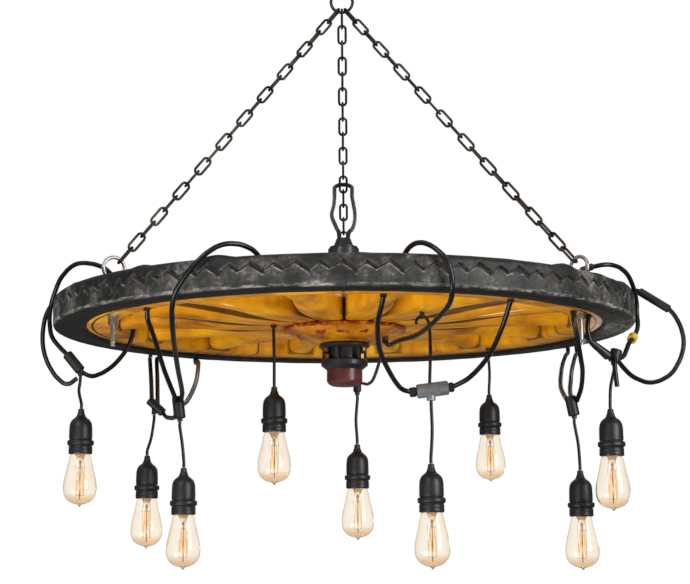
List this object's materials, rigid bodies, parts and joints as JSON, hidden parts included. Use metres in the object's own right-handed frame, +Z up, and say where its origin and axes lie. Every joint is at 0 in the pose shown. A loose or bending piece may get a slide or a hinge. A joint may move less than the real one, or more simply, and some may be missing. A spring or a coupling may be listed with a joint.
{
  "type": "wagon wheel chandelier",
  "caption": "Flat-hung wooden artillery wheel on a chain tripod, with drop lamps on a cable draped over its solid tyre",
  "frame": {"origin": "where the ceiling hook bears inside the top of the hanging ring", "axes": "+Z up, front is -Y, +X to the right seen from the front"},
  "size_m": [1.2648, 1.134, 1.1722],
  "materials": {
    "dark_iron": "dark bare iron, lightly worn",
    "zinc_steel": "zinc plated steel",
    "tyre_rubber": "weathered solid rubber",
    "black_iron": "black painted casting",
    "yellow_wood": "gloss golden yellow paint on wood",
    "red_cap": "dark red gloss paint",
    "brass": "tarnished brass",
    "black_plastic": "satin black",
    "grey_metal": "grey cast alloy",
    "yellow_plastic": "yellow plastic",
    "cable_rubber": "glossy black sheath",
    "bulb_glass": "clear glass, lightly amber"
  },
  "bodies": {
    "hanger": {"hanging_ring": "dark_iron"},
    "wheel_assembly": {"chain_left": "dark_iron", "chain_right": "dark_iron", "chain_rear": "dark_iron", "eye_bolts": "zinc_steel", "eye_nuts": "zinc_steel", "tyre": "tyre_rubber", "rim_band": "black_iron", "felloes": "yellow_wood", "spokes": "yellow_wood", "hub_flanges": "yellow_wood", "hub_barrel": "black_iron", "hub_neck": "black_iron", "hub_collar": "black_iron", "hub_cap": "red_cap", "hub_top": "black_iron", "cable_gland": "black_plastic", "brass_nuts": "brass", "cable_clips": "black_plastic", "inline_connectors": "black_plastic", "tee_connector": "grey_metal", "cable_tag": "yellow_plastic", "cable_left_loops": "cable_rubber", "cable_left_drapes": "cable_rubber", "cable_pair_links": "cable_rubber", "cable_front_loop": "cable_rubber", "cable_tee_feeds": "cable_rubber", "cable_hub_feed": "cable_rubber", "cable_right_feeds": "cable_rubber", "cable_right_edge": "cable_rubber", "cable_right_loop": "cable_rubber", "cable_chain_loop": "cable_rubber"},
    "pendant_1": {"drop_cord_1": "cable_rubber", "socket_1": "black_plastic"},
    "lamp_1": {"bulb_1": "bulb_glass"},
    "pendant_2": {"drop_cord_2": "cable_rubber", "socket_2": "black_plastic"},
    "lamp_2": {"bulb_2": "bulb_glass"},
    "pendant_3": {"drop_cord_3": "cable_rubber", "socket_3": "black_plastic"},
    "lamp_3": {"bulb_3": "bulb_glass"},
    "pendant_4": {"drop_cord_4": "cable_rubber", "socket_4": "black_plastic"},
    "lamp_4": {"bulb_4": "bulb_glass"},
    "pendant_5": {"drop_cord_5": "cable_rubber", "socket_5": "black_plastic"},
    "lamp_5": {"bulb_5": "bulb_glass"},
    "pendant_6": {"drop_cord_6": "cable_rubber", "socket_6": "black_plastic"},
    "lamp_6": {"bulb_6": "bulb_glass"},
    "pendant_7": {"drop_cord_7": "cable_rubber", "socket_7": "black_plastic"},
    "lamp_7": {"bulb_7": "bulb_glass"},
    "pendant_8": {"drop_cord_8": "cable_rubber", "socket_8": "black_plastic"},
    "lamp_8": {"bulb_8": "bulb_glass"},
    "pendant_9": {"drop_cord_9": "cable_rubber", "socket_9": "black_plastic"},
    "lamp_9": {"bulb_9": "bulb_glass"}
  },
  "joints": [
    {"name": "wheel_sway", "type": "hinge", "parent": "hanger", "child": "wheel_assembly", "pos_m": [0, 0, -0.041], "axis": [1, 0, 0], "range_deg": [-4, 4]},
    {"name": "pendant_swing_1", "type": "hinge", "parent": "wheel_assembly", "child": "pendant_1", "pos_m": [-0.514, -0.04, -0.78718], "axis": [1, 0, 0], "range_deg": [-12, 12]},
    {"name": "bulb_screw_1", "type": "hinge", "parent": "pendant_1", "child": "lamp_1", "pos_m": [-0.511, -0.04, -0.93818], "axis": [0, 0, 1], "range_deg": [0, 1440]},
    {"name": "pendant_swing_2", "type": "hinge", "parent": "wheel_assembly", "child": "pendant_2", "pos_m": [-0.393, 0.15, -0.84818], "axis": [1, 0, 0], "range_deg": [-12, 12]},
    {"name": "bulb_screw_2", "type": "hinge", "parent": "pendant_2", "child": "lamp_2", "pos_m": [-0.406, 0.15, -1.01918], "axis": [0, 0, 1], "range_deg": [0, 1440]},
    {"name": "pendant_swing_3", "type": "hinge", "parent": "wheel_assembly", "child": "pendant_3", "pos_m": [-0.311, -0.12, -0.88318], "axis": [1, 0, 0], "range_deg": [-12, 12]},
    {"name": "bulb_screw_3", "type": "hinge", "parent": "pendant_3", "child": "lamp_3", "pos_m": [-0.303, -0.12, -1.05718], "axis": [0, 0, 1], "range_deg": [0, 1440]},
    {"name": "pendant_swing_4", "type": "hinge", "parent": "wheel_assembly", "child": "pendant_4", "pos_m": [-0.137, -0.06, -0.69791], "axis": [1, 0, 0], "range_deg": [-12, 12]},
    {"name": "bulb_screw_4", "type": "hinge", "parent": "pendant_4", "child": "lamp_4", "pos_m": [-0.136, -0.06, -0.90018], "axis": [0, 0, 1], "range_deg": [0, 1440]},
    {"name": "pendant_swing_5", "type": "hinge", "parent": "wheel_assembly", "child": "pendant_5", "pos_m": [0.025, 0.06, -0.81918], "axis": [1, 0, 0], "range_deg": [-12, 12]},
    {"name": "bulb_screw_5", "type": "hinge", "parent": "pendant_5", "child": "lamp_5", "pos_m": [0.024, 0.06, -1.00518], "axis": [0, 0, 1], "range_deg": [0, 1440]},
    {"name": "pendant_swing_6", "type": "hinge", "parent": "wheel_assembly", "child": "pendant_6", "pos_m": [0.157, -0.23, -0.85718], "axis": [1, 0, 0], "range_deg": [-12, 12]},
    {"name": "bulb_screw_6", "type": "hinge", "parent": "pendant_6", "child": "lamp_6", "pos_m": [0.155, -0.23, -1.05818], "axis": [0, 0, 1], "range_deg": [0, 1440]},
    {"name": "pendant_swing_7", "type": "hinge", "parent": "wheel_assembly", "child": "pendant_7", "pos_m": [0.314, 0.33, -0.69991], "axis": [1, 0, 0], "range_deg": [-12, 12]},
    {"name": "bulb_screw_7", "type": "hinge", "parent": "pendant_7", "child": "lamp_7", "pos_m": [0.314, 0.33, -0.88318], "axis": [0, 0, 1], "range_deg": [0, 1440]},
    {"name": "pendant_swing_8", "type": "hinge", "parent": "wheel_assembly", "child": "pendant_8", "pos_m": [0.441, -0.06, -0.87918], "axis": [1, 0, 0], "range_deg": [-12, 12]},
    {"name": "bulb_screw_8", "type": "hinge", "parent": "pendant_8", "child": "lamp_8", "pos_m": [0.449, -0.06, -1.06518], "axis": [0, 0, 1], "range_deg": [0, 1440]},
    {"name": "pendant_swing_9", "type": "hinge", "parent": "wheel_assembly", "child": "pendant_9", "pos_m": [0.503, -0.16, -0.78718], "axis": [1, 0, 0], "range_deg": [-12, 12]},
    {"name": "bulb_screw_9", "type": "hinge", "parent": "pendant_9", "child": "lamp_9", "pos_m": [0.494, -0.16, -0.95618], "axis": [0, 0, 1], "range_deg": [0, 1440]}
  ]
}
